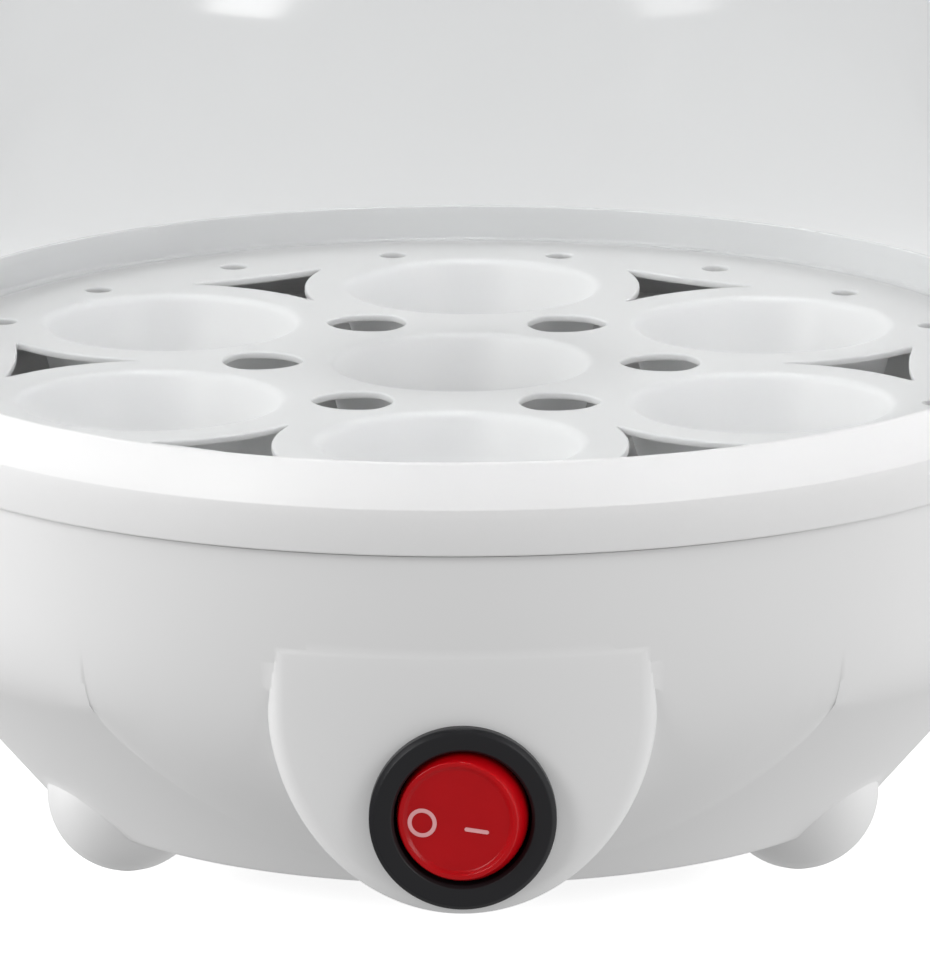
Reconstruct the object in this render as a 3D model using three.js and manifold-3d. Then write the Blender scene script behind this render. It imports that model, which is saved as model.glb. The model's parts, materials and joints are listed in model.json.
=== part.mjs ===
// Seven-egg steam cooker: a clear domed lid over a lift-out egg tray, on a round
// white base that holds a steel water pan, its heater and a round rocker switch.
// Millimetres, +Z up. The origin is on the table under the centre, the switch faces -Y.
import * as THREE from "three";
import { mergeVertices } from "three/addons/utils/BufferGeometryUtils.js";
import Module from "manifold-3d";

const wasm = await Module();
wasm.setup();

// ---------- driving dimensions ----------
const GAP = 0.3; // clearance kept between neighbouring pieces
const TRAY_Z = 61.6; // top face of the tray plate
const PLATE = 1.6; // thickness of the tray plate
const TRAY_TURN = -1.79; // degrees that the loose tray is turned on the base
const SKIRT_R = 80; // bottom edge of the tray's skirt, the widest part
const BAND_R = 78.65; // top of the skirt's side
const RING_R = 75.55; // inner wall of the tray's raised ring
const RING_TOP = TRAY_Z + 4.6;
const SKIRT_Z = TRAY_Z - 6.6;
const RIM_R = 54.8; // bottom rim of the base
const RIM_Z = 6.0;
const BOWL_R = 78; // base radius just under the skirt
const BOWL_H = 48.7; // height of that point above the rim
const LEG_H = 22; // top of the leg facets above the rim
const LEG_SLOPE = 0.855; // outward run of a leg facet for each millimetre up
const PETAL_HALF = 38; // half angle of a belly petal, degrees
const WALL = 3.0; // wall of the base, measured level
const NECK_R = 76.7; // collar of the base, inside the tray's skirt
const COLLAR_R = 74.3; // inside of that collar
const COLLAR_TOP = TRAY_Z - PLATE - 0.4;
const LEDGE_R = 68.8; // bore of the ledge that carries the pan
const LEDGE_Z = 52.2;
const CUP_PITCH = 45.4;
const CUP_R = 16.25;
const CUP_DEPTH = 13;
const CUP_WALL = 1.4;
const DRAIN_R = 6; // open bottom of each cup
const NOSE_R = 77.7; // front face of the switch nose, round the base's axis
const NOSE_HALF = 24.3;
const NOSE_MID = TRAY_Z - 27; // where the nose's straight sides end
const NOSE_DROP = 26.2;
const NOSE_TOP = 52;
const SWITCH_Z = TRAY_Z - 40.1;
const SWITCH_ROLL = 6; // degrees that the switch is turned in its hole
const BEZEL_R = 11.7;
const BARREL_R = 9.8;
const ROCKER_R = 8.3;
const ROCKER_TILT = 10; // degrees each side of level
const PIVOT_Y = -77; // depth of the rocker's pins
const FOOT_R = 10.4;
const FOOT_PITCH = 49.4;
const PAD_R = 3.8;
const POST_PITCH = 46.5; // posts that carry the shield and the bottom cover
const STUD_PITCH = 40.5;
const PAN_FLOOR = 40; // underside of the pan's floor
const SHIELD_Z = 26;
const SHIELD_T = 0.8;
const SHIELD_R = 50.5;
const COVER_Z = 6.4;
const COVER_T = 2;
const LID_R = 74;
const LID_T = 1.8;
const LID_WALL_TOP = 118; // where the lid's wall turns into its dome
const LID_TOP = 150;
const KNOB_TOP = 172;
const LID_FOOT_H = 3; // height of the lid's thicker foot band
const STEAM_HOLE_X = 24; // steam holes in the lid, each side of the knob
const INLET_Z = 33; // height of the cord gland
const GLAND_R = 4.7; // barrel of the cord gland
const GLAND_END = 81.84;
const ELEMENT_R = 27; // middle of the heating rod's ring
const ELEMENT_Z = 33.6;
const ELEMENT_LEG = 16; // half angle between the rod's two ends, degrees
const LEAD_R = 1.2;
const SCREW_BORE_R = 1.3;
const FOOT_ANGLES = [60, 180, 300];
const POST_ANGLES = [30, 150, 270];
const STUD_ANGLES = [90, 210, 330];

const radians = (degrees) => (degrees * Math.PI) / 180;

// ---------- materials ----------
const finish = (color, roughness, metalness = 0) =>
  new THREE.MeshStandardMaterial({ color, roughness, metalness });
const whitePlastic = finish("#f2f2f0", 0.4);
const trayPlastic = finish("#f4f4f2", 0.35);
const clearPlastic = finish("#e9ecec", 0.1);
clearPlastic.transparent = true;
clearPlastic.opacity = 0.35;
const blackPlastic = finish("#0c0c0d", 0.35);
const redPlastic = finish("#b00d12", 0.15);
const rubber = finish("#c9c9c6", 0.85);
const silicone = finish("#d9d6cf", 0.6);
const steel = finish("#c7c9cb", 0.3, 1);
const zinc = finish("#a9adb0", 0.4, 1);
const aluminium = finish("#b9bcbe", 0.45, 1);
const brass = finish("#b8963e", 0.35, 1);
const phenolic = finish("#3a2a22", 0.6);
const nylon = finish("#e6e3da", 0.5);

// ---------- solids: three.js shapes, joined and cut by manifold-3d ----------
function solid(geometry) {
  const bare = geometry.index ? geometry.toNonIndexed() : geometry.clone();
  bare.deleteAttribute("normal");
  bare.deleteAttribute("uv");
  const merged = mergeVertices(bare, 1e-4);
  return new wasm.Manifold(
    new wasm.Mesh({
      numProp: 3,
      vertProperties: merged.attributes.position.array,
      triVerts: new Uint32Array(merged.index.array),
    }),
  );
}

function geometryOf(made) {
  const mesh = made.getMesh();
  const geometry = new THREE.BufferGeometry();
  geometry.setAttribute("position", new THREE.BufferAttribute(mesh.vertProperties, 3));
  geometry.setIndex(new THREE.BufferAttribute(mesh.triVerts, 1));
  return geometry;
}

const cooker = new THREE.Group();

function place(name, shape, material, group = cooker) {
  const geometry = shape.isBufferGeometry ? shape : geometryOf(shape);
  const mesh = new THREE.Mesh(geometry, material);
  mesh.name = name;
  group.add(mesh);
  return mesh;
}

// An outline of [radius, z] points, in either order, turned round the Z axis.
function turned(points, sides = 20) {
  const outline = points.map(([r, z]) => new THREE.Vector2(r, z));
  if (THREE.ShapeUtils.area(outline) < 0) outline.reverse();
  const open = points[0][0] === 0 && points.at(-1)[0] === 0;
  if (!open) outline.push(outline[0].clone());
  const lathe = new THREE.LatheGeometry(outline, sides);
  return lathe.rotateX(Math.PI / 2);
}

function rod(radius, low, high, sides = 16) {
  const made = new THREE.CylinderGeometry(radius, radius, high - low, sides);
  return made.rotateX(Math.PI / 2).translate(0, 0, (low + high) / 2);
}

function box(x0, x1, y0, y1, z0, z1) {
  const made = new THREE.BoxGeometry(x1 - x0, y1 - y0, z1 - z0);
  return made.translate((x0 + x1) / 2, (y0 + y1) / 2, (z0 + z1) / 2);
}

// An outline in X and Y, extruded from z = low to z = high.
function plate(shape, low, high, curveSegments = 12) {
  const depth = high - low;
  const options = { depth, bevelEnabled: false, curveSegments };
  return new THREE.ExtrudeGeometry(shape, options).translate(0, 0, low);
}

// Moves a geometry out to a radius and turns it to an azimuth measured from the front.
function spoke(geometry, radius, azimuth) {
  return geometry.translate(0, -radius, 0).rotateZ(radians(azimuth));
}

function tube(points, radius, steps = 14, sides = 6) {
  const path = new THREE.CatmullRomCurve3(points.map((p) => new THREE.Vector3(...p)));
  const section = new THREE.Shape();
  for (let i = 0; i < sides; i++) {
    const a = (i / sides) * 2 * Math.PI;
    const point = [radius * Math.cos(a), radius * Math.sin(a)];
    if (i === 0) section.moveTo(...point);
    else section.lineTo(...point);
  }
  section.closePath();
  return new THREE.ExtrudeGeometry(section, { steps, extrudePath: path });
}

// ---------- base housing ----------
// Height above the rim where the leg facet gives way to the belly, by angle from the
// middle of a petal: a round-bottomed U, then a nearly level line over the leg.
function creaseHeight(azimuth) {
  const turn = ((azimuth % 120) + 120) % 120;
  const a = Math.min(turn, 120 - turn);
  if (a < PETAL_HALF) {
    return 1.5 + 23.5 * (1 - Math.sqrt(1 - (a / PETAL_HALF) ** 2));
  }
  return LEG_H + 3 * ((60 - a) / (60 - PETAL_HALF)) ** 3;
}

function baseRadius(azimuth, height) {
  const crease = creaseHeight(azimuth);
  if (height <= crease) return RIM_R + LEG_SLOPE * height;
  const start = RIM_R + LEG_SLOPE * crease;
  const power = 3.4 + 2.6 * (crease / LEG_H) ** 2;
  const left = (BOWL_H - height) / (BOWL_H - crease);
  return BOWL_R - (BOWL_R - start) * left ** power;
}

function bowlShell() {
  const outerHeights = [0, 4, 9, 15, 20, 25, 31, BOWL_H];
  const innerHeights = [36, 25, 15, 0];
  const columns = 48;
  const positions = [];
  const indices = [];
  let rows = 0;
  for (let i = 0; i < columns; i++) {
    const azimuth = (i / columns) * 360;
    const outline = outerHeights.map((h) => [baseRadius(azimuth, h), RIM_Z + h]);
    outline.push([NECK_R, RIM_Z + BOWL_H]);
    outline.push([NECK_R, COLLAR_TOP]);
    outline.push([COLLAR_R, COLLAR_TOP]);
    outline.push([COLLAR_R, LEDGE_Z]);
    outline.push([LEDGE_R, LEDGE_Z]);
    outline.push([LEDGE_R, LEDGE_Z - 2.2]);
    for (const h of innerHeights) {
      outline.push([baseRadius(azimuth, h) - WALL, RIM_Z + h]);
    }
    rows = outline.length;
    const a = radians(azimuth - 90);
    for (const [r, z] of outline) positions.push(r * Math.cos(a), r * Math.sin(a), z);
  }
  for (let i = 0; i < columns; i++) {
    const next = (i + 1) % columns;
    for (let j = 0; j < rows; j++) {
      const up = (j + 1) % rows;
      const corners = [i * rows + j, next * rows + j, next * rows + up, i * rows + up];
      indices.push(corners[0], corners[1], corners[2]);
      indices.push(corners[0], corners[2], corners[3]);
    }
  }
  const geometry = new THREE.BufferGeometry();
  geometry.setAttribute("position", new THREE.Float32BufferAttribute(positions, 3));
  geometry.setIndex(indices);
  return geometry;
}

// The nose's outline seen from the front: straight sides over a half ellipse.
function noseOutline(inset) {
  const half = NOSE_HALF - inset;
  const drop = NOSE_DROP - inset;
  const shape = new THREE.Shape();
  shape.moveTo(half, NOSE_TOP - inset);
  shape.lineTo(-half, NOSE_TOP - inset);
  shape.lineTo(-half, NOSE_MID);
  shape.absellipse(0, NOSE_MID, half, drop, Math.PI, 2 * Math.PI, false, 0);
  return shape;
}

function nosePrism(inset, back) {
  const depth = NOSE_R + 2 - back;
  const options = { depth, bevelEnabled: false, curveSegments: 12 };
  const made = new THREE.ExtrudeGeometry(noseOutline(inset), options);
  // The outline's Y becomes Z and the extrusion runs forward, along -Y.
  made.rotateX(Math.PI / 2);
  made.translate(0, -back, 0);
  const drum = rod(NOSE_R - inset, 0, NOSE_TOP + 1, 60);
  return solid(made).intersect(solid(drum));
}

function ballAt(azimuth, radius) {
  const ball = new THREE.SphereGeometry(radius, 16, 10).rotateX(Math.PI / 2);
  return spoke(ball.translate(0, 0, FOOT_R), FOOT_PITCH, azimuth);
}

// A flat web in a radial plane, through [radius, z] corners.
function web(corners, thickness, azimuth) {
  const shape = new THREE.Shape(corners.map(([r, z]) => new THREE.Vector2(r, z)));
  const made = new THREE.ExtrudeGeometry(shape, { depth: thickness, bevelEnabled: false });
  made.rotateX(Math.PI / 2).translate(0, thickness / 2, 0);
  return made.rotateZ(radians(azimuth - 90));
}

// The room inside the base behind the nose, so that the nose adds nothing there.
function noseCore() {
  const heights = [0, 4, 8, 14, 20, 28, 38];
  const outline = heights.map((h) => [baseRadius(0, h) - WALL + 0.5, RIM_Z + h]);
  outline.push([LEDGE_R + 1, LEDGE_Z - 1]);
  outline.push([LEDGE_R + 1, TRAY_Z]);
  outline.push([0, TRAY_Z]);
  outline.unshift([0, RIM_Z]);
  return solid(turned(outline, 60));
}

function baseHousing() {
  const nose = nosePrism(0, 50).subtract(noseCore());
  let made = solid(bowlShell()).add(nose);
  made = made.subtract(nosePrism(2.6, 40));
  for (const azimuth of POST_ANGLES) {
    const rib = [
      [44, 13],
      [59.2, 13],
      [66.8, 22],
      [44, 22],
    ];
    made = made.add(solid(web(rib, 2.4, azimuth)));
    const post = rod(4, COVER_Z + COVER_T + GAP, SHIELD_Z - GAP, 12);
    made = made.add(solid(spoke(post, POST_PITCH, azimuth)));
    const bore = rod(SCREW_BORE_R, 0, SHIELD_Z + 1, 8);
    made = made.subtract(solid(spoke(bore, POST_PITCH, azimuth)));
  }
  for (const azimuth of FOOT_ANGLES) {
    const shelf = [
      [45, 21.2],
      [65.6, 21.2],
      [68.6, 24.8],
      [45, 24.8],
    ];
    made = made.add(solid(web(shelf, 8, azimuth)));
    made = made.subtract(solid(ballAt(azimuth, FOOT_R + GAP)));
    const bore = rod(SCREW_BORE_R, 20, SHIELD_Z, 8);
    made = made.subtract(solid(spoke(bore, FOOT_PITCH, azimuth)));
  }
  const switchHole = rod(BARREL_R + GAP, 60, 90, 28).rotateX(Math.PI / 2);
  made = made.subtract(solid(switchHole.translate(0, 0, SWITCH_Z)));
  const inletHole = rod(GLAND_R + GAP, 60, 90, 16).rotateX(-Math.PI / 2);
  made = made.subtract(solid(inletHole.translate(0, 0, INLET_Z)));
  return made;
}

place("base_housing", baseHousing(), whitePlastic);

// ---------- feet ----------
FOOT_ANGLES.forEach((azimuth, i) => {
  const recess = rod(PAD_R + GAP, -1, 2.8, 16);
  const bore = rod(1.9, 0, 24, 8);
  const head = rod(3.4, 2, 6.2, 12);
  const foot = solid(ballAt(azimuth, FOOT_R))
    .subtract(solid(spoke(box(-12, 12, -12, 12, -2, 0.9), FOOT_PITCH, azimuth)))
    .subtract(solid(spoke(recess, FOOT_PITCH, azimuth)))
    .subtract(solid(spoke(head, FOOT_PITCH, azimuth)))
    .subtract(solid(spoke(bore, FOOT_PITCH, azimuth)));
  place(`ball_foot_${i + 1}`, foot, whitePlastic);
  place(`foot_pad_${i + 1}`, spoke(rod(PAD_R, 0, 2.5, 16), FOOT_PITCH, azimuth), rubber);
  const screw = turned([
    [0, 3.2],
    [3, 3.2],
    [3, 5.2],
    [1.5, 5.9],
    [1, 5.9],
    [1, 24],
    [0, 24],
  ], 6);
  place(`foot_screw_${i + 1}`, spoke(screw, FOOT_PITCH, azimuth), zinc);
});

// ---------- bottom cover ----------
function bottomCover() {
  const disc = new THREE.Shape();
  disc.absarc(0, 0, RIM_R - WALL - 0.8, 0, 2 * Math.PI);
  for (const azimuth of POST_ANGLES) {
    const a = radians(azimuth - 90);
    const hole = new THREE.Path();
    hole.absarc(POST_PITCH * Math.cos(a), POST_PITCH * Math.sin(a), 1.8, 0, 2 * Math.PI, true);
    disc.holes.push(hole);
  }
  for (let row = -2; row <= 2; row++) {
    const slot = new THREE.Path();
    slot.moveTo(-14, row * 6 - 1.2);
    slot.lineTo(-14, row * 6 + 1.2);
    slot.lineTo(14, row * 6 + 1.2);
    slot.lineTo(14, row * 6 - 1.2);
    slot.closePath();
    disc.holes.push(slot);
  }
  let made = solid(plate(disc, COVER_Z, COVER_Z + COVER_T, 18));
  for (const azimuth of FOOT_ANGLES) {
    made = made.subtract(solid(ballAt(azimuth, FOOT_R + GAP)));
  }
  return made;
}

place("bottom_cover", bottomCover(), blackPlastic);

// A pan-head screw with its head below, standing on the Z axis.
function screwUp(headLow, tip, headR = 2.8, shankR = 1.0) {
  const neck = headLow + 1.7;
  return turned([
    [0, headLow],
    [headR, headLow],
    [headR, neck],
    [shankR, neck],
    [shankR, tip],
    [0, tip],
  ], 6);
}

POST_ANGLES.forEach((azimuth, i) => {
  const cover = screwUp(COVER_Z - GAP - 1.7, COVER_Z + 9);
  place(`cover_screw_${i + 1}`, spoke(cover, POST_PITCH, azimuth), zinc);
  const shield = screwUp(-(SHIELD_Z + SHIELD_T + GAP + 1.7), -(SHIELD_Z - 7)).rotateX(Math.PI);
  place(`shield_screw_${i + 1}`, spoke(shield, POST_PITCH, azimuth), zinc);
});

// ---------- water pan, its gasket and the heater under it ----------
const pan = turned([
  [0, PAN_FLOOR],
  [59.5, PAN_FLOOR],
  [61, PAN_FLOOR + 1],
  [67.6, LEDGE_Z + 2.1],
  [73.8, LEDGE_Z + 2.1],
  [73.8, LEDGE_Z + 3.1],
  [66.8, LEDGE_Z + 3.1],
  [60, PAN_FLOOR + 1.6],
  [59, PAN_FLOOR + 1],
  [0, PAN_FLOOR + 1],
], 36);
place("heating_pan", pan, steel);
const gasket = turned([
  [69.4, LEDGE_Z + GAP],
  [73.6, LEDGE_Z + GAP],
  [73.6, LEDGE_Z + 1.8],
  [69.4, LEDGE_Z + 1.8],
], 32);
place("pan_gasket", gasket, silicone);
place("heat_spreader", rod(36, 37, PAN_FLOOR - GAP, 36), aluminium);

// A sheathed heating rod bent to an open ring, with both ends turned down.
function heatingElement() {
  const legX = ELEMENT_R * Math.sin(radians(ELEMENT_LEG));
  const legY = ELEMENT_R * Math.cos(radians(ELEMENT_LEG));
  const points = [];
  points.push([legX, legY, 21.5]);
  points.push([legX, legY, 28.5]);
  for (let i = 0; i <= 14; i++) {
    const a = radians(24) + (i / 14) * (2 * Math.PI - radians(48));
    points.push([ELEMENT_R * Math.sin(a), ELEMENT_R * Math.cos(a), ELEMENT_Z]);
  }
  points.push([-legX, legY, 28.5]);
  points.push([-legX, legY, 21.5]);
  return tube(points, 3, 36, 6);
}

place("heating_element", heatingElement(), zinc);

function heatShield() {
  const disc = new THREE.Shape();
  disc.absarc(0, 0, SHIELD_R, 0, 2 * Math.PI);
  const drill = (x, y, r) => {
    const hole = new THREE.Path();
    hole.absarc(x, y, r, 0, 2 * Math.PI, true);
    disc.holes.push(hole);
  };
  drill(0, 0, 9.5);
  for (const side of [-1, 1]) {
    const a = radians(side * ELEMENT_LEG);
    drill(ELEMENT_R * Math.sin(a), ELEMENT_R * Math.cos(a), 4.8);
  }
  for (const azimuth of POST_ANGLES) {
    const a = radians(azimuth - 90);
    drill(POST_PITCH * Math.cos(a), POST_PITCH * Math.sin(a), 1.6);
  }
  for (const azimuth of STUD_ANGLES) {
    const a = radians(azimuth - 90);
    drill(STUD_PITCH * Math.cos(a), STUD_PITCH * Math.sin(a), 2.3);
  }
  return plate(disc, SHIELD_Z, SHIELD_Z + SHIELD_T, 8);
}

place("heat_shield", heatShield(), aluminium);

STUD_ANGLES.forEach((azimuth, i) => {
  const stud = rod(1.7, 19, PAN_FLOOR - GAP, 8);
  place(`pan_stud_${i + 1}`, spoke(stud, STUD_PITCH, azimuth), steel);
  const nutBore = rod(2.1, 10, 30, 8);
  const nut = solid(rod(3.8, SHIELD_Z - GAP - 3, SHIELD_Z - GAP, 6)).subtract(solid(nutBore));
  place(`stud_nut_${i + 1}`, spoke(geometryOf(nut), STUD_PITCH, azimuth), zinc);
});

// ---------- thermostat, fuse, terminals and leads ----------
const thermostat = turned([
  [0, 24.6],
  [7, 24.6],
  [7, 28],
  [8.2, 28],
  [8.2, 36.7],
  [0, 36.7],
], 20);
place("thermostat_body", thermostat, phenolic);
const flange = turned([
  [7.3, 27.1],
  [13, 27.1],
  [13, 27.7],
  [7.3, 27.7],
], 20);
place("thermostat_flange", flange, zinc);
for (const [side, name] of [[-1, "left"], [1, "right"]]) {
  const x = side * 4.5;
  place(`thermostat_blade_${name}`, box(x - 0.4, x + 0.4, -2.4, 2.4, 17.5, 24.3), brass);
}
place("terminal_block", box(-15, 15, 15, 25, COVER_Z + COVER_T + GAP, 17), nylon);
const fuse = rod(3, -11, 11, 10).rotateX(Math.PI / 2);
place("thermal_fuse", fuse.translate(-24, 4, 14), silicone);

// Each lead runs through these points, from one terminal to the next.
const leads = {
  lead_live: [
    [9, 14.6, 10],
    [11, 4, 9.9],
    [11, -25, 10.5],
    [5, -43, 17],
    [0, -51.8, 21.5],
  ],
  lead_switched: [
    [0, -51.8, 15.5],
    [-4, -44, 13],
    [-8, -20, 12],
    [-6, -4, 12.5],
    [-4.6, 0, 14.5],
    [-4.5, 0, 17],
  ],
  lead_lamp: [
    [0, 14.6, 12.6],
    [3, 4, 12.5],
    [17, -8, 12.5],
    [18, -38, 13],
    [16, -50, 17],
    [11, -55, 23],
    [5, -56, 27],
  ],
  lead_element: [
    [4.5, 0, 17],
    [4.7, 0.2, 15.8],
    [11, 4, 15.6],
    [21, 10, 14.5],
    [20, 26, 14.5],
    [10, 29.5, 15.5],
    [7.4, 26.5, 18],
    [7.4, 26, 20.8],
  ],
  lead_fuse_in: [
    [-7.4, 26, 20.8],
    [-7.4, 26.5, 18],
    [-12, 29.5, 15.5],
    [-21, 28, 14.5],
    [-24, 22, 14],
    [-24, 15.5, 14],
  ],
  lead_fuse_out: [
    [-24, -7.4, 14],
    [-24, -12, 13.5],
    [-15, -12, 12],
    [-9, 8, 12],
    [-9, 14.6, 12],
  ],
};
for (const [name, points] of Object.entries(leads)) {
  place(name, tube(points, LEAD_R, 12, 6), silicone);
}

// ---------- rocker switch ----------
// Built round its own axis, which points out of the nose, then rolled in its hole.
const switchGroup = new THREE.Group();
switchGroup.position.set(0, 0, SWITCH_Z);
switchGroup.rotation.y = radians(SWITCH_ROLL);
cooker.add(switchGroup);

// A profile of [radius, y] points turned round the switch's axis.
function turnedOnY(points, sides) {
  return turned(points, sides).rotateX(-Math.PI / 2);
}

function switchBody() {
  const outline = [
    [0, -60],
    [BARREL_R, -60],
    [BARREL_R, -NOSE_R - GAP],
    [BEZEL_R, -NOSE_R - GAP],
    [BEZEL_R, -79.1],
    [BEZEL_R - 0.8, -79.9],
    [9.6, -79.9],
    [8.6, -79.3],
    [8.6, -69],
    [0, -69],
  ];
  const pins = rod(1.4, -9.4, 9.4, 8).translate(0, PIVOT_Y, 0);
  return solid(turnedOnY(outline, 28)).subtract(solid(pins));
}

place("switch_body", switchBody(), blackPlastic, switchGroup);

// The rocker's side is a zone of a ball centred on its pins, so it never meets the
// bezel at any tilt. It rests tilted, with its left half pressed in.
function rocker() {
  const half = 3.6;
  const edge = Math.sqrt(ROCKER_R ** 2 - half ** 2);
  const outline = [
    [0, half],
    [edge, half],
    [ROCKER_R * 0.975, half * 0.5],
    [ROCKER_R, 0],
    [ROCKER_R * 0.975, -half * 0.5],
    [edge, -half],
    [edge * 0.55, -half + 0.35],
    [0, -half + 0.5],
  ];
  const pins = rod(0.95, -9.1, 9.1, 8);
  return geometryOf(solid(turnedOnY(outline, 20)).add(solid(pins)));
}

const rockerShape = rocker().rotateZ(radians(-ROCKER_TILT)).translate(0, PIVOT_Y, 0);
place("switch_rocker", rockerShape, redPlastic, switchGroup);
for (const [name, z] of [["upper", 6], ["middle", 0], ["lower", -6]]) {
  const blade = box(-2.4, 2.4, -59.7, -52.4, z - 0.4, z + 0.4);
  place(`switch_blade_${name}`, blade, brass, switchGroup);
}

// ---------- cord gland in the back ----------
const gland = turnedOnY([
  [3.5, 64.5],
  [6, 64.5],
  [6, 68.4],
  [GLAND_R, 69],
  [GLAND_R, BOWL_R + GAP],
  [6.8, BOWL_R + GAP],
  [6.4, GLAND_END - 1],
  [5.4, GLAND_END],
  [3.5, GLAND_END],
], 16);
place("cord_gland", gland.translate(0, 0, INLET_Z), blackPlastic);

// ---------- egg tray ----------
function polar(r, azimuth) {
  const a = radians(azimuth - 90);
  return [r * Math.cos(a), r * Math.sin(a)];
}

// A closed outline whose sides bow out by `bow` (or in, where it is negative).
function bowedOutline(corners, bow) {
  const shape = new THREE.Shape();
  shape.moveTo(...corners[0]);
  corners.forEach(([x0, y0], i) => {
    const [x1, y1] = corners[(i + 1) % corners.length];
    const length = Math.hypot(x1 - x0, y1 - y0);
    const nx = (y1 - y0) / length;
    const ny = -(x1 - x0) / length;
    const mid = [(x0 + x1) / 2 + 2 * bow[i] * nx, (y0 + y1) / 2 + 2 * bow[i] * ny];
    shape.quadraticCurveTo(...mid, x1, y1);
  });
  return shape;
}

function eggTray() {
  const underside = TRAY_Z - PLATE;
  const ring = turned([
    [74.6, underside],
    [77.2, underside],
    [78.4, SKIRT_Z],
    [SKIRT_R, SKIRT_Z],
    [BAND_R, TRAY_Z - 0.65],
    [RING_R + 0.5, RING_TOP],
    [RING_R, RING_TOP],
    [RING_R, TRAY_Z],
    [74.6, TRAY_Z],
  ], 40);
  let made = solid(rod(RING_R - 0.2, underside, TRAY_Z, 40)).add(solid(ring));
  for (let i = 0; i < 18; i++) {
    const [x, y] = polar(65.7, 10 + 20 * i);
    const steamHole = rod(1.75, underside - 1, TRAY_Z + 1, 6).translate(x, y, 0);
    made = made.subtract(solid(steamHole));
  }
  // Six small holes round the middle cup, and six fans between the outer cups.
  for (let i = 0; i < 6; i++) {
    const azimuth = 30 + 60 * i;
    const [cx, cy] = polar(26.2, azimuth);
    const corners = [180, 300, 60].map((turn) => {
      const [dx, dy] = polar(6, azimuth + turn);
      return [cx + dx, cy + dy];
    });
    const small = bowedOutline(corners, [0.8, 0.8, 0.8]);
    made = made.subtract(solid(plate(small, underside - 1, TRAY_Z + 1, 3)));
    const fanCorners = [
      polar(42.2, azimuth),
      polar(58.8, azimuth - 8.8),
      polar(58.8, azimuth + 8.8),
    ];
    const fan = bowedOutline(fanCorners, [-2.2, -0.8, -2.2]);
    made = made.subtract(solid(plate(fan, underside - 1, TRAY_Z + 1, 4)));
  }
  const seats = [[0, 0]];
  for (let i = 0; i < 6; i++) seats.push(polar(CUP_PITCH, 60 * i));
  const floor = TRAY_Z - CUP_DEPTH;
  for (const [x, y] of seats) {
    const mouth = rod(CUP_R + 0.6, underside - 1, TRAY_Z + 1, 12).translate(x, y, 0);
    const cup = turned([
      [DRAIN_R, floor],
      [DRAIN_R, floor - CUP_WALL],
      [11, floor - 0.9],
      [16, floor + 6],
      [CUP_R + CUP_WALL, underside],
      [CUP_R + CUP_WALL, TRAY_Z],
      [CUP_R, TRAY_Z],
      [14.6, floor + 6.4],
      [10, floor + 0.4],
    ], 12);
    made = made.subtract(solid(mouth)).add(solid(cup.translate(x, y, 0)));
  }
  return made;
}

const tray = place("egg_tray", eggTray(), trayPlastic);
tray.rotation.z = radians(TRAY_TURN);

// ---------- lid ----------
function lidOutline(offset) {
  // A wall that leans in slightly, then a quarter of an ellipse up to the crown.
  const points = [];
  const shoulder = LID_R - 3 - offset;
  const rise = LID_TOP - LID_WALL_TOP - offset;
  for (let i = 0; i <= 6; i++) {
    const a = (i / 6) * (Math.PI / 2);
    points.push([shoulder * Math.cos(a), LID_WALL_TOP + rise * Math.sin(a)]);
  }
  points.at(-1)[0] = 2.6;
  points.at(-1)[1] = LID_TOP - offset;
  return points;
}

function lidDome() {
  const foot = TRAY_Z + GAP;
  const outline = [
    [LID_R - LID_T, foot],
    [LID_R, foot],
    [LID_R, foot + LID_FOOT_H],
    [LID_R - 0.4, foot + LID_FOOT_H + 0.6],
    ...lidOutline(0),
    ...lidOutline(LID_T).reverse(),
  ];
  let made = solid(turned(outline, 32));
  for (const side of [-1, 1]) {
    const steamHole = rod(1.9, LID_TOP - 20, LID_TOP + 5, 8).translate(side * STEAM_HOLE_X, 0, 0);
    made = made.subtract(solid(steamHole));
  }
  return made;
}

place("lid_dome", lidDome(), clearPlastic);
const knob = turned([
  [0, LID_TOP + GAP],
  [9, LID_TOP + GAP],
  [9.6, LID_TOP + 1.6],
  [8.2, LID_TOP + 6],
  [10.5, LID_TOP + 12],
  [15, LID_TOP + 15],
  [16, LID_TOP + 17.5],
  [14.5, LID_TOP + 20],
  [8, KNOB_TOP - 0.5],
  [0, KNOB_TOP],
], 22);
const knobBore = rod(1.6, LID_TOP - 1, LID_TOP + 12, 8);
place("lid_knob", solid(knob).subtract(solid(knobBore)), whitePlastic);
const inside = LID_TOP - LID_T;
const washerDisc = rod(6.5, inside - GAP - 1, inside - GAP, 16);
const washerBore = rod(2.2, inside - 3, inside + 1, 8);
place("knob_washer", solid(washerDisc).subtract(solid(washerBore)), silicone);
const screwLow = inside - 2 * GAP - 1 - 1.7;
place("knob_screw", screwUp(screwLow, LID_TOP + 10.5, 3.4, 1.2), zinc);

export default cooker;
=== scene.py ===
# %% [markdown]
# # A seven-egg steam cooker
# The cooker is a round white base that holds a steel water pan, a loose white egg
# tray on top of it, and a clear domed lid. A round red rocker switch sits in a nose
# on the front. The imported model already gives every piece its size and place, so
# here the plain solids get their finer surfaces, and everything gets its finish.

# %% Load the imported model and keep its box
import json
import math

import bmesh
import bpy
import numpy as np
from mathutils import Matrix, Vector
from mathutils.geometry import delaunay_2d_cdt


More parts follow.
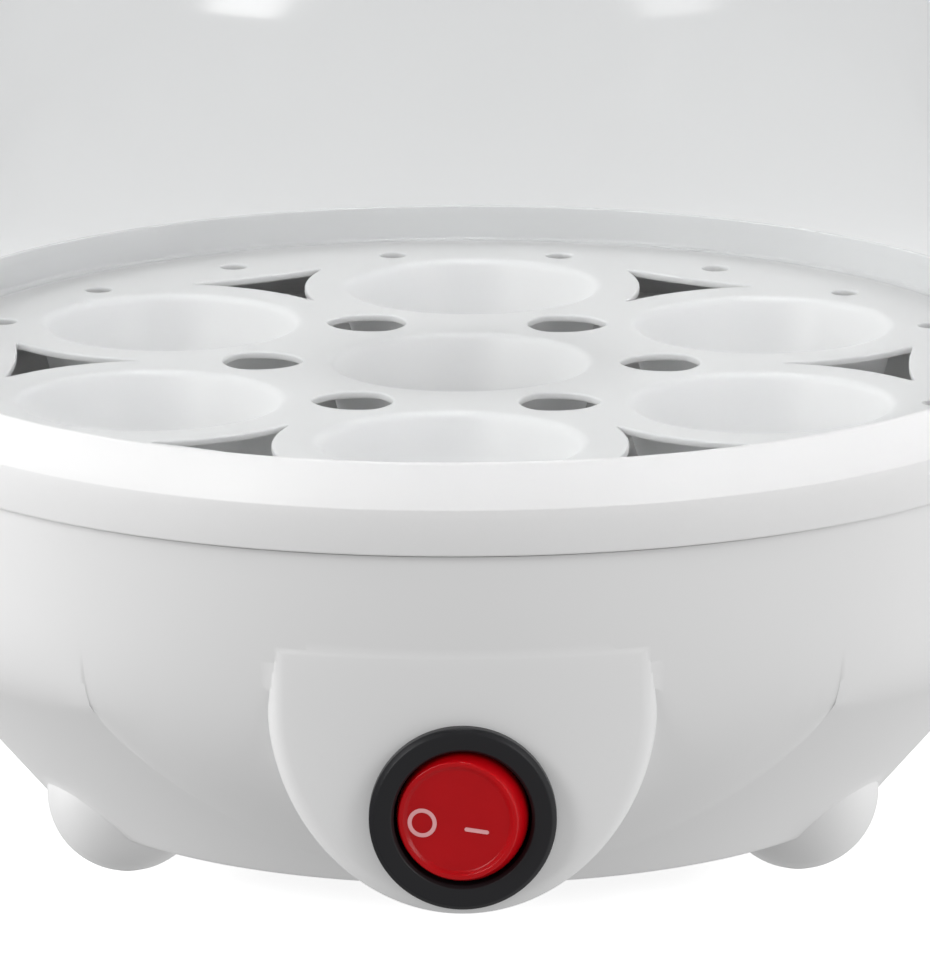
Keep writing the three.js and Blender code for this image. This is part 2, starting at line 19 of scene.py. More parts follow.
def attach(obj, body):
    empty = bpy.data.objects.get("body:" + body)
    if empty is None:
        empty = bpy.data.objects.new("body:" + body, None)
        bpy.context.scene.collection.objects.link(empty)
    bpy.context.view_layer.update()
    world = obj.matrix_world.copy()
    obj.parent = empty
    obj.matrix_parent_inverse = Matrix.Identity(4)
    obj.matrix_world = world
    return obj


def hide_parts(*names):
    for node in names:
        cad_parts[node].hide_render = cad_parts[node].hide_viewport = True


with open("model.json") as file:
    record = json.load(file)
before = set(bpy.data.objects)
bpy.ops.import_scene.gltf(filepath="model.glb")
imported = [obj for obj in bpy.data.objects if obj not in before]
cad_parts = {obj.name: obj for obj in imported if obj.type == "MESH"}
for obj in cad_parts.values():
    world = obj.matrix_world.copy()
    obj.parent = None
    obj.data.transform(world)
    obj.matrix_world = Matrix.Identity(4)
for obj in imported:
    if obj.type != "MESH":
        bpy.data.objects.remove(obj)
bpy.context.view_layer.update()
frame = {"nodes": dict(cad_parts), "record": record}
MM = 0.001

# %% [markdown]
# ## The camera
# The camera stands in front of the switch and a little above. A long lens keeps the
# round tray from looking stretched. The lens could be guessed, but then the ring and
# the feet would not line up, so the distance and height follow the cooker's own size.

# %% Place the camera in front of the switch
AIM_HEIGHT = 45.6
CAMERA_DISTANCE = 1339.96
CAMERA_RISE = math.radians(13.633)
CAMERA_ROLL = math.radians(-0.173)

camera_data = bpy.data.cameras.new("shop_camera")
camera_data.lens = 383.07
camera_data.sensor_width = 36
camera_data.clip_start = 0.01
camera_data.clip_end = 50
camera = bpy.data.objects.new("shop_camera", camera_data)
bpy.context.scene.collection.objects.link(camera)
bpy.context.scene.camera = camera

back = Vector((0, -math.cos(CAMERA_RISE), math.sin(CAMERA_RISE)))
side = Vector((1, 0, 0))
rise = back.cross(side)
turned_side = math.cos(CAMERA_ROLL) * side + math.sin(CAMERA_ROLL) * rise
turned_rise = math.cos(CAMERA_ROLL) * rise - math.sin(CAMERA_ROLL) * side
aim = Vector((0.4, 0, AIM_HEIGHT)) * MM
place = Matrix((turned_side, turned_rise, back)).transposed().to_4x4()
place.translation = aim + back * CAMERA_DISTANCE * MM
camera.matrix_world = place
print("camera at", [round(v, 3) for v in camera.location])

# %% [markdown]
# ## The table
# The cooker stands on a wide white table that glows a little, so that it stays
# white right up to the cooker, and fades to a pale grey further off. Light that
# bounces off a white table would fill the underside and hide the edge between belly
# and leg, so the table is only seen, and the room's own glow lights the underside.

# %% Give a finish one colour
def plain_finish(name, colour, rough):
    """A finish with one colour, before any pattern is added."""
    made = bpy.data.materials.new(name)
    made.use_nodes = True
    shader = made.node_tree.nodes["Principled BSDF"]
    shader.inputs["Base Color"].default_value = (*colour, 1)
    shader.inputs["Roughness"].default_value = rough
    return made, shader


# %% Lay the table
REACH = 12.0
table_mesh = bpy.data.meshes.new("table_top")
table_mesh.from_pydata(
    [(-REACH, -REACH, 0), (REACH, -REACH, 0), (REACH, REACH, 0), (-REACH, REACH, 0)],
    [],
    [(0, 1, 2, 3)],
)
table = bpy.data.objects.new("table_top", table_mesh)
bpy.context.scene.collection.objects.link(table)
table.visible_diffuse = False
table.visible_glossy = False
table.visible_shadow = False
table_finish, table_shader = plain_finish("white_table", (0.96, 0.96, 0.96), 0.9)
table_mesh.materials.append(table_finish)
print("table reaches", REACH, "m each way")

# %% Let the table's glow fade away from the cooker
# Painted light: the glow is strongest round the cooker, where it fills in the cooker's shadow on
# the table, and fades further off.
NEAR_GLOW, FAR_GLOW = 0.85, 0.2
FADE_FROM, FADE_TO = 0.16, 0.40
table_shader.inputs["Emission Color"].default_value = (1, 1, 1, 1)
table_tree = table_finish.node_tree
table_where = table_tree.nodes.new("ShaderNodeTexCoord")
table_away = table_tree.nodes.new("ShaderNodeVectorMath")
table_away.operation = "LENGTH"
table_fade = table_tree.nodes.new("ShaderNodeMapRange")
table_fade.interpolation_type = "SMOOTHSTEP"
table_fade.inputs["From Min"].default_value = FADE_FROM
table_fade.inputs["From Max"].default_value = FADE_TO
table_fade.inputs["To Min"].default_value = NEAR_GLOW
table_fade.inputs["To Max"].default_value = FAR_GLOW
table_tree.links.new(table_where.outputs["Object"], table_away.inputs[0])
table_tree.links.new(table_away.outputs["Value"], table_fade.inputs["Value"])
table_tree.links.new(table_fade.outputs["Result"], table_shader.inputs["Emission Strength"])
print("glow:", NEAR_GLOW, "at the cooker,", FAR_GLOW, "from", FADE_TO, "m on")

# %% [markdown]
# ## The light
# Two tall soft boxes at the sides and two small ones near the front draw out the
# round belly and the edge of the nose. A narrow lamp overhead reaches the tray
# through the clear lid. Small hard lamps would leave hot spots on the plastic. The
# side boxes stay out of reflections, where they would draw a hard line on the lid.

# %% Hang the soft boxes
def soft_box(name, place_mm, aim_mm, width, height, power):
    """A square lamp that looks at a point on the cooker. Sizes are in millimetres."""
    lamp = bpy.data.lights.new(name, "AREA")
    lamp.shape = "RECTANGLE"
    lamp.size = width * MM
    lamp.size_y = height * MM
    lamp.energy = power
    box = bpy.data.objects.new(name, lamp)
    bpy.context.scene.collection.objects.link(box)
    box.location = Vector(place_mm) * MM
    look = (Vector(aim_mm) - Vector(place_mm)).normalized()
    box.rotation_mode = "QUATERNION"
    box.rotation_quaternion = look.to_track_quat("-Z", "Y")
    return box


for name, x, power in (("left_box", -1500, 18.5), ("right_box", 1500, 5.0)):
    soft_box(name, (x, 200, 300), (0, 0, 60), 900, 1400, power).visible_glossy = False
soft_box("near_left_box", (-700, -700, 500), (0, 0, 50), 300, 600, 3.5)
soft_box("near_right_box", (700, -700, 500), (0, 0, 50), 300, 600, 1.8)
overhead = soft_box("overhead_box", (0, 0, 1500), (0, 0, 60), 300, 300, 0.2)
overhead.data.spread = math.radians(25)
print("lamps:", len(bpy.data.lights))

# %% [markdown]
# ## The glow of the room
# White walls round a cooker give it most of its soft light. Instead of building
# walls, the room glows with its own strength from each of six sides, and the sides
# melt into each other. A dim front and floor leave the belly its round shading.

# %% Give the room its glow
def room_glow(world, towards, away):
    """Glow from six sides: (right, back, up) and (left, front, down), soft between."""
    tree = world.node_tree
    looking = tree.nodes.new("ShaderNodeTexCoord")
    total = tree.nodes.new("ShaderNodeMath")
    for socket, flip, glow in ((0, 1, towards), (1, -1, away)):
        flipped = tree.nodes.new("ShaderNodeVectorMath")
        flipped.operation = "MULTIPLY"
        flipped.inputs[1].default_value = (flip, flip, flip)
        facing = tree.nodes.new("ShaderNodeVectorMath")
        facing.operation = "MAXIMUM"
        squared = tree.nodes.new("ShaderNodeVectorMath")
        squared.operation = "MULTIPLY"
        weighed = tree.nodes.new("ShaderNodeVectorMath")
        weighed.operation = "DOT_PRODUCT"
        weighed.inputs[1].default_value = glow
        tree.links.new(looking.outputs["Generated"], flipped.inputs[0])
        tree.links.new(flipped.outputs["Vector"], facing.inputs[0])
        tree.links.new(facing.outputs["Vector"], squared.inputs[0])
        tree.links.new(facing.outputs["Vector"], squared.inputs[1])
        tree.links.new(squared.outputs["Vector"], weighed.inputs[0])
        tree.links.new(weighed.outputs["Value"], total.inputs[socket])
    tree.links.new(total.outputs["Value"], tree.nodes["Background"].inputs["Strength"])


room = bpy.data.worlds.new("studio")
bpy.context.scene.world = room
room.use_nodes = True
room.node_tree.nodes["Background"].inputs["Color"].default_value = (1, 1, 1, 1)
room_glow(room, (0.95, 0.7, 0.15), (0.15, 0.45, 0.42))
bpy.context.scene.view_settings.view_transform = "Standard"
print("room:", room.name)

# %% [markdown]
# ## Turning outlines into pieces
# Most pieces of a cooker are round, so one helper turns an outline round an axis as
# a lathe does. A real moulding has no knife edges, so a second helper eases each
# corner of an outline first. A bevel modifier could do this too, but easing the
# outline costs nothing and gives each corner its own radius.

# %% Ease the corners of an outline
def eased(corners, steps=5, closed=True):
    """Corners are (across, up, radius). Returns the outline with each corner rounded."""
    outline = []
    count = len(corners)
    for i, (across, up, bend) in enumerate(corners):
        here = Vector((across, up))
        at_end = not closed and i in (0, count - 1)
        if bend == 0 or at_end:
            outline.append(here)
            continue
        before = Vector(corners[i - 1][:2]) - here
        after = Vector(corners[(i + 1) % count][:2]) - here
        half = before.angle(after) / 2
        reach = min(bend / math.tan(half), before.length * 0.48, after.length * 0.48)
        start = here + before.normalized() * reach
        end = here + after.normalized() * reach
        for k in range(steps + 1):
            t = k / steps
            outline.append(start.lerp(here, t).lerp(here.lerp(end, t), t))
    return outline


# %% Turn an outline round the upright axis
def turned(outline, sides=128, closed=True):
    """Points and faces of an outline of (radius, height) turned round the Z axis."""
    points, rings, faces = [], [], []
    for radius, up in outline:
        if radius < 1e-6:
            rings.append([len(points)] * sides)
            points.append((0, 0, up))
            continue
        rings.append([len(points) + k for k in range(sides)])
        for k in range(sides):
            a = 2 * math.pi * k / sides
            points.append((radius * math.cos(a), radius * math.sin(a), up))
    last = len(rings) if closed else len(rings) - 1
    for i in range(last):
        low, high = rings[i], rings[(i + 1) % len(rings)]
        for k in range(sides):
            corners = [low[k], low[(k + 1) % sides], high[(k + 1) % sides], high[k]]
            corners = list(dict.fromkeys(corners))
            if len(corners) > 2:
                faces.append(corners)
    return points, faces


# %% Make a Blender object from points and faces
def blank(name, points, faces, move=None):
    """An object from points in millimetres, with its faces turned outward."""
    mesh = bpy.data.meshes.new(name)
    mesh.from_pydata([Vector(p) * MM for p in points], [], faces)
    if move is not None:
        mesh.transform(move)
    work = bmesh.new()
    work.from_mesh(mesh)
    bmesh.ops.remove_doubles(work, verts=work.verts, dist=1e-7)
    bmesh.ops.recalc_face_normals(work, faces=work.faces)
    if work.calc_volume(signed=True) < 0:
        bmesh.ops.reverse_faces(work, faces=work.faces)
    work.to_mesh(mesh)
    work.free()
    made = bpy.data.objects.new(name, mesh)
    bpy.context.scene.collection.objects.link(made)
    return made


# %% Join or cut two objects
def carve(target, tools, action="DIFFERENCE"):
    """Cuts the tools out of the target, or joins them to it, and removes the tools."""
    for tool in tools:
        cut = target.modifiers.new("cut", "BOOLEAN")
        cut.operation = action
        cut.solver = "MANIFOLD"
        cut.object = tool
        bpy.context.view_layer.update()
        seen = target.evaluated_get(bpy.context.evaluated_depsgraph_get())
        carved = bpy.data.meshes.new_from_object(seen)
        target.modifiers.clear()
        old = target.data
        target.data = carved
        bpy.data.meshes.remove(old)
        bpy.data.objects.remove(tool)
    return target


# %% Finish a piece: shading, body, node and material
def settle(piece, body, finish, nodes=(), crisp=32):
    """Gives a piece its finish, smooths it except at its sharp edges, ties it to its body and
    hides the imported nodes it stands in for.
    """
    piece.data.materials.clear()
    piece.data.materials.append(finish)
    piece.data.shade_smooth()
    piece.data.set_sharp_from_angle(angle=math.radians(crisp))
    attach(piece, body)
    if nodes:
        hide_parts(*nodes)
    print(f"{piece.name}: {len(piece.data.polygons)} faces, {finish.name}")
    return piece


def compass(radius, azimuth):
    """A point on a circle. Azimuth 0 is the front and 90 is the right."""
    a = math.radians(azimuth)
    return radius * math.sin(a), -radius * math.cos(a)


# %% [markdown]
# ## Finishes
# Each finish starts from one shader with its own colour and shine. A faint noise in
# the roughness and a very fine bump keep a surface from looking computed: moulded
# plastic has a slight orange peel, and spun steel has rings of fine scratches.

# %% A helper that adds a moulded grain to a finish
def grain(finish, shader, scale, bump, rough_low, rough_high, stretch=(1, 1, 1)):
    """Noise that moves the roughness between two values and lifts a fine bump."""
    tree = finish.node_tree
    where = tree.nodes.new("ShaderNodeTexCoord")
    spread = tree.nodes.new("ShaderNodeMapping")
    spread.inputs["Scale"].default_value = stretch
    noise = tree.nodes.new("ShaderNodeTexNoise")
    noise.inputs["Scale"].default_value = scale
    noise.inputs["Detail"].default_value = 3
    span = tree.nodes.new("ShaderNodeMapRange")
    span.inputs["To Min"].default_value = rough_low
    span.inputs["To Max"].default_value = rough_high
    lift = tree.nodes.new("ShaderNodeBump")
    lift.inputs["Strength"].default_value = bump
    lift.inputs["Distance"].default_value = 0.0001
    tree.links.new(where.outputs["Object"], spread.inputs["Vector"])
    tree.links.new(spread.outputs["Vector"], noise.inputs["Vector"])
    tree.links.new(noise.outputs["Fac"], span.inputs["Value"])
    tree.links.new(span.outputs["Result"], shader.inputs["Roughness"])
    tree.links.new(noise.outputs["Fac"], lift.inputs["Height"])
    tree.links.new(lift.outputs["Normal"], shader.inputs["Normal"])
    return noise


def cloud(finish, shader, colour_a, colour_b, scale):
    """Wide soft patches between two close colours, as in a real moulding or sheet."""
    tree = finish.node_tree
    where = tree.nodes.new("ShaderNodeTexCoord")
    noise = tree.nodes.new("ShaderNodeTexNoise")
    noise.inputs["Scale"].default_value = scale
    noise.inputs["Detail"].default_value = 2
    ramp = tree.nodes.new("ShaderNodeValToRGB")
    ramp.color_ramp.elements[0].color = (*colour_a, 1)
    ramp.color_ramp.elements[1].color = (*colour_b, 1)
    tree.links.new(where.outputs["Object"], noise.inputs["Vector"])
    tree.links.new(noise.outputs["Fac"], ramp.inputs["Fac"])
    tree.links.new(ramp.outputs["Color"], shader.inputs["Base Color"])


def patterned(name, colour_a, colour_b, rough_low, rough_high, scale=1800, bump=0.05,
              patch=14, metal=0.0):
    """A finish with close colour patches and a fine grain."""
    finish, shader = plain_finish(name, colour_a, rough_low)
    shader.inputs["Metallic"].default_value = metal
    cloud(finish, shader, colour_a, colour_b, patch)
    grain(finish, shader, scale, bump, rough_low, rough_high)
    return finish, shader


# %% White plastics of the base and of the tray
housing_white, housing_shader = patterned(
    "housing_white", (0.80, 0.80, 0.80), (0.83, 0.83, 0.83), 0.30, 0.38
)
housing_shader.inputs["Coat Weight"].default_value = 0.15
housing_shader.inputs["Coat Roughness"].default_value = 0.2
tray_white, tray_shader = patterned(
    "tray_white", (0.88, 0.88, 0.88), (0.91, 0.91, 0.91), 0.36, 0.44
)
tray_shader.inputs["Subsurface Weight"].default_value = 0.5
tray_shader.inputs["Subsurface Radius"].default_value = (0.003, 0.003, 0.003)
tray_shader.inputs["Subsurface Scale"].default_value = 1.0
print("white finishes:", housing_white.name, tray_white.name)

# %% Black plastic of the switch frame, the gland and the bottom cover
switch_black, switch_black_shader = patterned(
    "switch_black", (0.012, 0.012, 0.014), (0.018, 0.018, 0.020), 0.30, 0.42, 2600, 0.12
)
switch_black_shader.inputs["Specular IOR Level"].default_value = 0.3
cover_black, _ = patterned(
    "cover_black", (0.020, 0.020, 0.021), (0.028, 0.028, 0.029), 0.5, 0.65, 1500, 0.2
)
print("black finishes:", switch_black.name, cover_black.name)

# %% [markdown]
# ### Clear plastic
# Real glass shading would bend every ray through a thin wall for no visible gain.
# So the lid's finish lets light straight through with a slight tint, and adds a
# soft mirror that grows towards the edge, as on a clear moulding.

# %% Clear plastic of the lid
lid_clear = bpy.data.materials.new("lid_clear")
lid_clear.use_nodes = True
lid_tree = lid_clear.node_tree
lid_tree.nodes.clear()
lid_out = lid_tree.nodes.new("ShaderNodeOutputMaterial")
lid_mix = lid_tree.nodes.new("ShaderNodeMixShader")
lid_through = lid_tree.nodes.new("ShaderNodeBsdfTransparent")
lid_through.inputs["Color"].default_value = (0.983, 0.986, 0.987, 1)
lid_shine = lid_tree.nodes.new("ShaderNodeBsdfGlossy")
lid_shine.inputs["Roughness"].default_value = 0.16
lid_edge = lid_tree.nodes.new("ShaderNodeLayerWeight")
lid_steep = lid_tree.nodes.new("ShaderNodeMath")
lid_steep.operation = "POWER"
lid_steep.inputs[1].default_value = 5
lid_span = lid_tree.nodes.new("ShaderNodeMapRange")
lid_span.inputs["To Min"].default_value = 0.03
lid_span.inputs["To Max"].default_value = 0.9
lid_tree.links.new(lid_edge.outputs["Facing"], lid_steep.inputs[0])
lid_tree.links.new(lid_steep.outputs["Value"], lid_span.inputs["Value"])
lid_tree.links.new(lid_span.outputs["Result"], lid_mix.inputs["Fac"])
lid_tree.links.new(lid_through.outputs["BSDF"], lid_mix.inputs[1])
lid_tree.links.new(lid_shine.outputs["BSDF"], lid_mix.inputs[2])
lid_tree.links.new(lid_mix.outputs["Shader"], lid_out.inputs["Surface"])
print("lid finish:", lid_clear.name)

# %% Red plastic of the rocker and the pale paint of its marks
rocker_red, rocker_shader = patterned(
    "rocker_red", (0.44, 0.001, 0.004), (0.56, 0.002, 0.006), 0.18, 0.24, 900, 0.02, 160
)
rocker_shader.inputs["Subsurface Weight"].default_value = 0.35
rocker_shader.inputs["Subsurface Radius"].default_value = (0.004, 0.0004, 0.0004)
rocker_shader.inputs["Subsurface Scale"].default_value = 1.0
rocker_shader.inputs["Specular IOR Level"].default_value = 0.22
rocker_shader.inputs["Coat Weight"].default_value = 0.06
rocker_shader.inputs["Coat Roughness"].default_value = 0.1
mark_pink, _ = patterned(
    "mark_pink", (0.80, 0.36, 0.38), (0.86, 0.44, 0.45), 0.4, 0.5, 2000, 0.02, 300
)
print("rocker finishes:", rocker_red.name, mark_pink.name)

# %% Metals
pan_steel, pan_shader = plain_finish("pan_steel", (0.93, 0.93, 0.92), 0.4)
pan_shader.inputs["Metallic"].default_value = 0.12
pan_tree = pan_steel.node_tree
pan_where = pan_tree.nodes.new("ShaderNodeTexCoord")
pan_rings = pan_tree.nodes.new("ShaderNodeTexWave")
pan_rings.wave_type = "RINGS"
pan_rings.rings_direction = "Z"
pan_rings.inputs["Scale"].default_value = 420
pan_rings.inputs["Distortion"].default_value = 1.2
pan_rings.inputs["Detail"].default_value = 3
pan_span = pan_tree.nodes.new("ShaderNodeMapRange")
pan_span.inputs["To Min"].default_value = 0.36
pan_span.inputs["To Max"].default_value = 0.52
pan_lift = pan_tree.nodes.new("ShaderNodeBump")
pan_lift.inputs["Strength"].default_value = 0.12
pan_lift.inputs["Distance"].default_value = 0.00005
pan_tree.links.new(pan_where.outputs["Object"], pan_rings.inputs["Vector"])
pan_tree.links.new(pan_rings.outputs["Fac"], pan_span.inputs["Value"])
pan_tree.links.new(pan_span.outputs["Result"], pan_shader.inputs["Roughness"])
pan_tree.links.new(pan_rings.outputs["Fac"], pan_lift.inputs["Height"])
pan_tree.links.new(pan_lift.outputs["Normal"], pan_shader.inputs["Normal"])

zinc, _ = patterned(
    "zinc_plate", (0.52, 0.54, 0.56), (0.60, 0.61, 0.60), 0.25, 0.42, 900, 0.06, 220, 1.0
)
aluminium, _ = patterned(
    "mill_aluminium", (0.60, 0.61, 0.62), (0.68, 0.69, 0.70), 0.32, 0.5, 700, 0.08, 60, 1.0
)
brass, _ = patterned(
    "stamped_brass", (0.50, 0.36, 0.12), (0.58, 0.42, 0.16), 0.25, 0.4, 900, 0.05, 200, 1.0
)
print("metals:", pan_steel.name, zinc.name, aluminium.name, brass.name)

# %% Rubber, silicone, sleeves and the hidden mouldings
pad_rubber, _ = patterned(
    "pad_rubber", (0.62, 0.62, 0.61), (0.68, 0.68, 0.67), 0.75, 0.9, 1600, 0.3
)
silicone, _ = patterned(
    "pale_silicone", (0.66, 0.65, 0.62), (0.72, 0.71, 0.68), 0.5, 0.65, 1200, 0.1
)
sleeve, _ = patterned(
    "braided_sleeve", (0.70, 0.69, 0.64), (0.80, 0.79, 0.75), 0.7, 0.9, 2400, 0.5, 400
)
phenolic, _ = patterned(
    "dark_phenolic", (0.045, 0.028, 0.018), (0.065, 0.040, 0.028), 0.45, 0.6, 900, 0.15, 90
)
nylon, _ = patterned(
    "natural_nylon", (0.70, 0.68, 0.61), (0.75, 0.73, 0.67), 0.42, 0.55, 1500, 0.08
)
print("finishes made:", len(bpy.data.materials))

# %% [markdown]
# ## The base housing
# The base is one white moulding. Its lower part has three round belly petals, and
# between them flat facets slope out from the rim to carry the feet. A skin built
# column by column lets the crease between petal and facet fall exactly on an edge of
# the mesh, which a displaced or sculpted bowl would only do roughly.

# %% Measures of the base
RIM_R = 54.8
RIM_Z = 6.0
BOWL_R = 78.0
BOWL_H = 48.7
LEG_H = 22.0
LEG_SLOPE = 0.855
PETAL_HALF = 38.0
WALL = 3.0
NECK_R = 76.7
COLLAR_R = 74.3
COLLAR_TOP = 59.6
LEDGE_R = 68.8
LEDGE_Z = 52.2
FOOT_R = 10.4
FOOT_PITCH = 50.2
FOOT_ANGLES = (60, 180, 300)


def crease_height(azimuth):
    """How high above the rim the sloping facet ends and the belly begins."""
    turn = azimuth % 120
    a = min(turn, 120 - turn)
    if a < PETAL_HALF:
        return 1.5 + 23.5 * (1 - math.sqrt(1 - (a / PETAL_HALF) ** 2))
    return LEG_H + 3 * ((60 - a) / (60 - PETAL_HALF)) ** 3


def petal_radius(azimuth, height):
    """Distance of the base's skin from the axis, before the belly is evened out."""
    crease = crease_height(azimuth)
    if height <= crease:
        return RIM_R + LEG_SLOPE * height
    start = RIM_R + LEG_SLOPE * crease
    power = 3.4 + 2.6 * (crease / LEG_H) ** 2
    left = (BOWL_H - height) / (BOWL_H - crease)
    return BOWL_R - (BOWL_R - start) * max(left, 0) ** power


# %% Even out the belly above the crease
SPREAD = 6.0
SPREAD_RISE = 8.0


def skin_radius(azimuth, height):
    """The skin, with the belly evened out sideways as it leaves the crease."""
    away = min((height - crease_height(azimuth)) / SPREAD_RISE, 1)
    if away <= 0:
        return petal_radius(azimuth, height)
    spread = SPREAD * away**2 * (3 - 2 * away)
    turns = [azimuth + spread * k / 3 for k in range(-3, 4)]
    return sum(petal_radius(turn, height) for turn in turns) / len(turns)


print("skin at the front, mid height:", round(skin_radius(0, 24), 2), "mm")

# %% A small fillet where each ball foot meets the facet
FILLET = 1.0
SUNK = 0.35


def filleted_radius(azimuth, height):
    """The skin, drawn out softly towards a ball foot where one is near."""
    plain = skin_radius(azimuth, height)
    off = min(abs(azimuth % 360 - a) for a in FOOT_ANGLES)
    across = FOOT_PITCH * math.sin(math.radians(off))
    room = FOOT_R**2 - (RIM_Z + height - FOOT_R) ** 2 - across**2
    if off > 30 or room < 0:
        return plain
    ball = FOOT_PITCH * math.cos(math.radians(off)) + math.sqrt(room) - SUNK
    near = max(FILLET - abs(plain - ball), 0) / FILLET
    return max(plain, ball) + near * near * FILLET / 4


print("fillet reach over a foot:", round(filleted_radius(60, 5) - skin_radius(60, 5), 2))

# %% Build the shell of the base, column by column
def base_columns():
    """Azimuths of the columns, close together where the crease is steep."""
    made = []
    for petal in (0, 120, 240):
        for i in range(-36, 36):
            made.append(petal + PETAL_HALF * math.sin(math.radians(90 * i / 36)))
        for i in range(88):
            made.append(petal + PETAL_HALF + 44 * i / 88)
    return made


def base_outline(azimuth):
    """The wall's outline in one radial plane, from the rim up and back down inside."""
    crease = crease_height(azimuth)
    foot = Vector((filleted_radius(azimuth, 0), RIM_Z))
    ease = 0.7
    above = Vector((filleted_radius(azimuth, ease), RIM_Z + ease))
    inward = Vector((foot.x - ease, RIM_Z))
    outline = []
    for k in range(5):
        t = k / 4
        outline.append(inward.lerp(foot, t).lerp(foot.lerp(above, t), t))
    for k in range(1, 27):
        h = ease + (crease - ease) * (k / 26) ** 1.2
        outline.append(Vector((filleted_radius(azimuth, h), RIM_Z + h)))
    for k in range(1, 41):
        h = crease + (BOWL_H - crease) * k / 40
        outline.append(Vector((filleted_radius(azimuth, h), RIM_Z + h)))
    top = [
        (BOWL_R, RIM_Z + BOWL_H),
        (NECK_R, RIM_Z + BOWL_H),
        (NECK_R, COLLAR_TOP - 0.5),
        (NECK_R - 0.5, COLLAR_TOP),
        (COLLAR_R + 0.5, COLLAR_TOP),
        (COLLAR_R, COLLAR_TOP - 0.5),
        (COLLAR_R, LEDGE_Z),
        (LEDGE_R, LEDGE_Z),
        (LEDGE_R, LEDGE_Z - 2.2),
    ]
    outline += [Vector(p) for p in top[1:]]
    for h in (36, 30, 25, 20, 15, 10, 5, 0):
        outline.append(Vector((skin_radius(azimuth, h) - WALL, RIM_Z + h)))
    return outline


def base_shell():
    points, faces = [], []
    columns = base_columns()
    for azimuth in columns:
        outline = base_outline(azimuth)
        for radius, up in outline:
            points.append((*compass(radius, azimuth), up))
    rows = len(outline)
    for i in range(len(columns)):
        here, there = i * rows, (i + 1) % len(columns) * rows
        for j in range(rows):
            k = (j + 1) % rows
            faces.append((here + j, there + j, there + k, here + k))
    return blank("base_housing_skin", points, faces)


housing = base_shell()
print("shell faces:", len(housing.data.polygons))

# %% [markdown]
# ### The switch nose
# The nose is a U-shaped block with a softly rounded edge, standing out of the belly
# so that the switch has a level face. Its front follows a drum round the cooker's
# axis and leans back at its top, where it melts into the belly. A sculpted bump
# would be quicker but uneven, so it is made as rings from the middle of the face
# outward, over the rounded edge and back into the belly, and joined to the shell.

# %% Outline and depth of the nose
NOSE_R = 78.15
NOSE_HALF = 24.3
NOSE_MID = 34.6
NOSE_DROP = 26.2
NOSE_TOP = 43.6
NOSE_EDGE = 2.2
NOSE_WALL = 2.6
NOSE_SKIN = 3.0
LEAN = 0.34
LEAN_FROM = 35.0
SWITCH_Z = 21.5


def nose_outline(inset):
    """The U seen from the front, as points (x, z), closed across its top."""
    half, drop, top = NOSE_HALF - inset, NOSE_DROP - inset, NOSE_TOP - inset
    outline = []
    for k in range(18):
        outline.append((half, top - (top - NOSE_MID) * k / 18))
    for k in range(97):
        a = math.pi * k / 96
        outline.append((half * math.cos(a), NOSE_MID - drop * math.sin(a)))
    for k in range(1, 19):
        outline.append((-half, NOSE_MID + (top - NOSE_MID) * k / 18))
    for k in range(1, 24):
        outline.append((-half + 2 * half * k / 24, top))
    return outline


def drum(x, radius, z=0.0):
    """Depth of a drum round the axis, that leans back softly towards the nose's top."""
    lean = LEAN * (max(z - LEAN_FROM, 0) / (NOSE_TOP - LEAN_FROM)) ** 2
    return -math.sqrt((radius - lean) ** 2 - x**2)


def belly(x, z, inward):
    """Depth of the belly's skin at a point of the front view, moved inward."""
    y = -70.0
    for _ in range(12):
        azimuth = math.degrees(math.atan2(x, -y))
        y = drum(x, skin_radius(azimuth, z - RIM_Z) - inward)
    return y


print("nose:", 2 * NOSE_HALF, "mm wide, up to", NOSE_TOP, "mm")

# %% Build a U block as rings
def nose_block(inset, edge, front, inward):
    """A U block between the drum's face and a surface inside the belly's wall."""
    rings = []
    middle = Vector((0, SWITCH_Z))
    face = [Vector(p) for p in nose_outline(inset + edge)]
    for k in range(1, 14):
        ring = [middle.lerp(p, k / 14) for p in face]
        rings.append([(x, drum(x, front, z), z) for x, z in ring])
    for k in range(9):
        a = math.radians(90 * k / 8)
        ring = nose_outline(inset + edge * (1 - math.sin(a)))
        depth = edge * (1 - math.cos(a))
        rings.append([(x, drum(x, front, z) + depth, z) for x, z in ring])
    rim = nose_outline(inset)
    deep = [belly(x, z, inward) for x, z in rim]
    for k in range(1, 9):
        t = k / 8
        ring = []
        for (x, y, z), end in zip(rings[21], deep):
            ring.append((x, y + (max(end, y + 0.05) - y) * t, z))
        rings.append(ring)
    for k in range(13, 0, -1):
        ring = [middle.lerp(Vector(p), k / 14) for p in rim]
        rings.append([(x, belly(x, z, inward), z) for x, z in ring])
    points = [p for ring in rings for p in ring]
    count = len(rim)
    faces = []
    for i in range(len(rings) - 1):
        for k in range(count):
            j = (k + 1) % count
            faces.append((i * count + k, i * count + j, (i + 1) * count + j, (i + 1) * count + k))
    for start in (0, (len(rings) - 1) * count):
        centre = len(points)
        y = drum(0, front) if start == 0 else belly(0, SWITCH_Z, inward)
        points.append((0, y, SWITCH_Z))
        for k in range(count):
            faces.append((start + k, start + (k + 1) % count, centre))
    return blank("nose", points, faces)


# %% Rods and balls to cut with
def rod_along_y(radius, near, far, height, sides=96):
    """A rod from near to far in depth, at a height over the table."""
    points, faces = turned([(0, near), (radius, near), (radius, far), (0, far)], sides, False)
    upright = Matrix.Rotation(math.radians(-90), 4, "X")
    return blank("rod", points, faces, Matrix.Translation((0, 0, height * MM)) @ upright)


def ball_at(azimuth, radius):
    """A ball in the place of a foot."""
    outline = []
    for k in range(65):
        a = math.radians(-90 + 180 * k / 64)
        outline.append((max(radius * math.cos(a), 0), FOOT_R + radius * math.sin(a)))
    outline[0] = (0, outline[0][1])
    outline[-1] = (0, outline[-1][1])
    x, y = compass(FOOT_PITCH, azimuth)
    points, faces = turned(outline, 128, False)
    return blank("ball", points, faces, Matrix.Translation((x * MM, y * MM, 0)))


